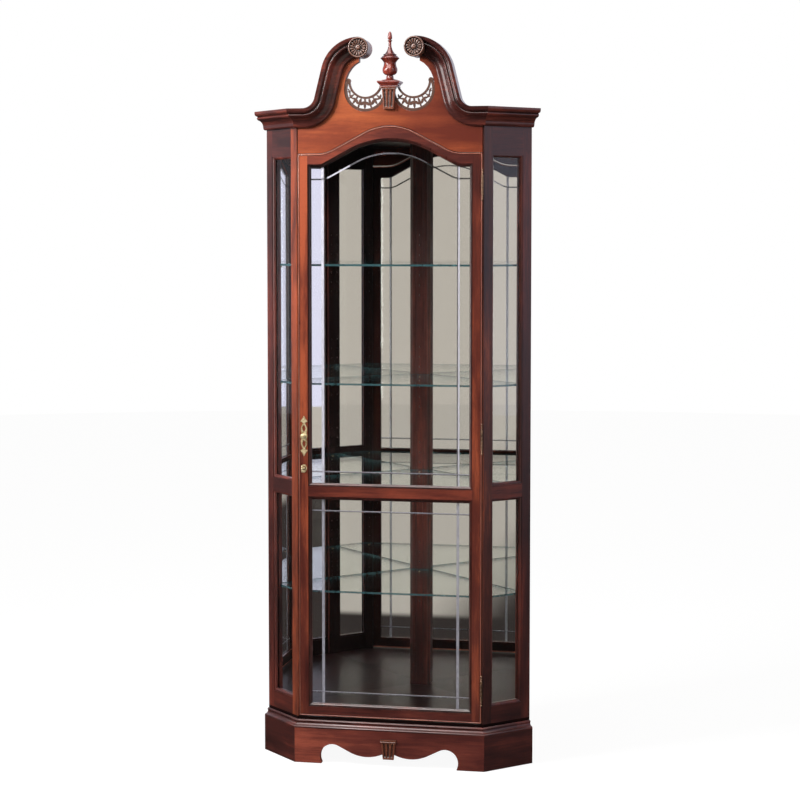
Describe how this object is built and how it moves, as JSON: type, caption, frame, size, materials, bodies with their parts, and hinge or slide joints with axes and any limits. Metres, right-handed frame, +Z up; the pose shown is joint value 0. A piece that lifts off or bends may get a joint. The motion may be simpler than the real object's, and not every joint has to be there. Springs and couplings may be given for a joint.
{
  "type": "corner china cabinet",
  "caption": "Tall five-sided corner china cabinet with an arched glass door, mirrored back, glass shelves and a swan-neck pediment.",
  "frame": {"origin": "on the floor, midway between the outermost points of the cabinet left to right and front to back", "axes": "+Z up, +X to the right of someone facing the door, +Y back into the room's corner; the door faces -Y"},
  "size_m": [0.8724, 0.5586, 2.186],
  "materials": {
    "dark_wood": "gloss lacquer",
    "red_wood": "gloss lacquer",
    "gold_wood": "gloss lacquer",
    "carved_wood": "satin, antique glaze",
    "brass": "antique, satin",
    "glass": "clear",
    "mirror": "silvered"
  },
  "bodies": {
    "cabinet": {"plinth_front": "red_wood", "plinth_left": "dark_wood", "plinth_right": "dark_wood", "plinth_backs": "dark_wood", "apron_keystone": "carved_wood", "base_mouldings": "dark_wood", "base_ledgers": "gold_wood", "base_deck": "red_wood", "front_post_left": "dark_wood", "front_post_right": "dark_wood", "rear_post_left": "dark_wood", "rear_post_right": "dark_wood", "back_corner_post": "dark_wood", "side_rails_left": "dark_wood", "side_rails_right": "dark_wood", "side_glass_left": "glass", "side_glass_right": "glass", "side_beads_left": "dark_wood", "side_beads_right": "dark_wood", "back_panel_left": "dark_wood", "back_panel_right": "dark_wood", "mirror_left": "mirror", "mirror_right": "mirror", "ceiling_board": "dark_wood", "crown_left": "dark_wood", "crown_right": "dark_wood", "pediment_board": "gold_wood", "swan_neck_left": "dark_wood", "swan_neck_right": "dark_wood", "rosettes": "carved_wood", "keystone": "carved_wood", "finial_cap": "dark_wood", "finial": "dark_wood", "fretwork_left": "carved_wood", "fretwork_right": "carved_wood", "hinge_leaves_post": "brass", "hinge_pins": "brass", "hinge_screws_post": "brass", "glass_shelves": "glass", "shelf_pins": "brass"},
    "door": {"door_stile_left": "red_wood", "door_stile_right": "red_wood", "door_top_rail": "red_wood", "door_mid_rail": "red_wood", "door_bottom_rail": "red_wood", "door_edge_bead": "red_wood", "door_mouldings": "red_wood", "door_glass_upper": "glass", "door_glass_lower": "glass", "glass_stops": "red_wood", "hinge_leaves_door": "brass", "hinge_screws_door": "brass", "pull_plate": "brass", "pull_knob": "brass", "escutcheon": "brass", "lock_case": "brass"},
    "lock_core": {"lock_core": "brass"},
    "lock_bolt": {"lock_bolt": "brass"},
    "key": {"key": "brass"}
  },
  "joints": [
    {"name": "door_swing", "type": "hinge", "parent": "cabinet", "child": "door", "pos_m": [0.2785, -0.23024, 0.987], "axis": [0, 0, 1], "range_deg": [0, 110]},
    {"name": "lock_turn", "type": "hinge", "parent": "door", "child": "lock_core", "pos_m": [-0.261, -0.22474, 0.892], "axis": [0, 1, 0], "range_deg": [0, 90]},
    {"name": "bolt_slide", "type": "slide", "parent": "door", "child": "lock_bolt", "axis": [-1, 0, 0], "range_m": [0, 0.007]},
    {"name": "key_draw", "type": "slide", "parent": "lock_core", "child": "key", "axis": [0, -1, 0], "range_m": [0, 0.03]}
  ],
  "couplings": [
    {"joint": "bolt_slide", "follows": "lock_turn", "m_per_rad": 0.004456}
  ]
}
